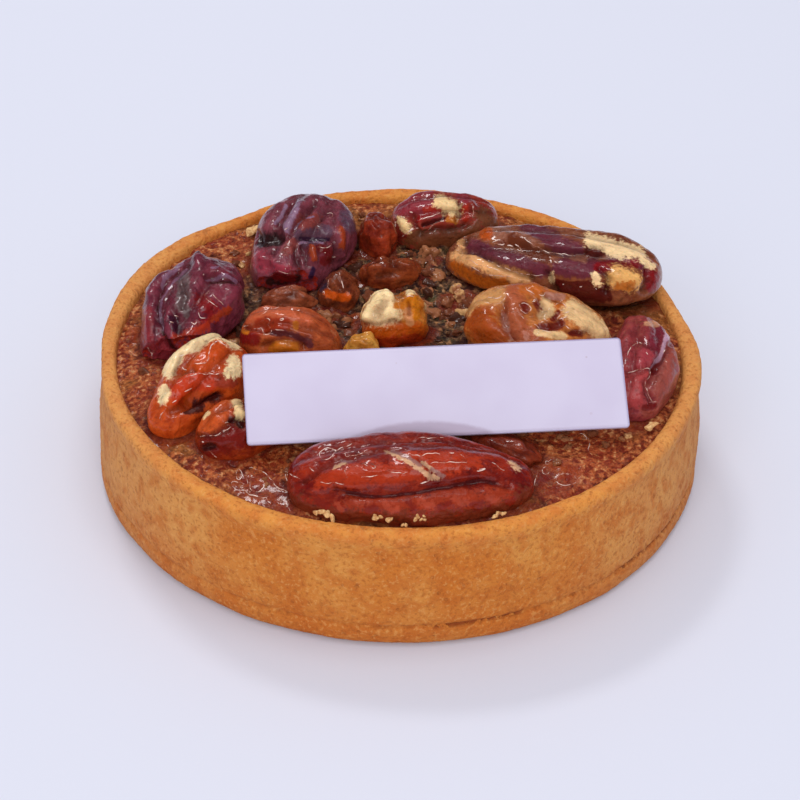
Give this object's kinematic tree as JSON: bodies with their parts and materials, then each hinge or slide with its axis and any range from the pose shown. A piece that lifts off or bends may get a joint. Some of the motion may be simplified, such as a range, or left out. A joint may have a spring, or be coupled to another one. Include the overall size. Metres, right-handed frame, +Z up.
{
  "type": "pecan pie",
  "caption": "Individual straight-sided pecan tart: a shortcrust shell, a baked nut filling, glazed pecan halves and pieces on top, and a blank card leaning on them.",
  "frame": {"origin": "centre of the flat base, on the surface that it stands on", "axes": "+Z up; -Y is the front, which the card faces; +X is to the right seen from the front"},
  "size_m": [0.081, 0.0812, 0.0263],
  "materials": {
    "shortcrust": "dry sandy shortcrust, golden tan",
    "baked_filling": "grainy baked filling under a thin glaze",
    "brick_nut": "glazed pecan, brick red",
    "plum_nut": "glazed pecan, dark plum",
    "pale_nut": "glazed nut, golden cream",
    "card_stock": "smooth white card, bare"
  },
  "bodies": {
    "root": {"shell": "shortcrust", "filling": "baked_filling", "pecan_front": "brick_nut", "pecan_left": "plum_nut", "pecan_back_left": "plum_nut", "pecan_back": "brick_nut", "pecan_back_right": "plum_nut", "pecan_middle": "brick_nut", "pecan_left_front": "brick_nut", "pecan_lobe": "brick_nut", "pecan_right": "brick_nut", "pecan_prop_left": "brick_nut", "pecan_prop_right": "brick_nut", "nut_pale": "pale_nut", "walnut_gold": "pale_nut", "piece_back": "brick_nut", "piece_flat": "brick_nut", "piece_amber": "brick_nut", "piece_brown": "brick_nut", "piece_gold": "pale_nut", "piece_low": "brick_nut", "card": "card_stock"}
  },
  "joints": []
}
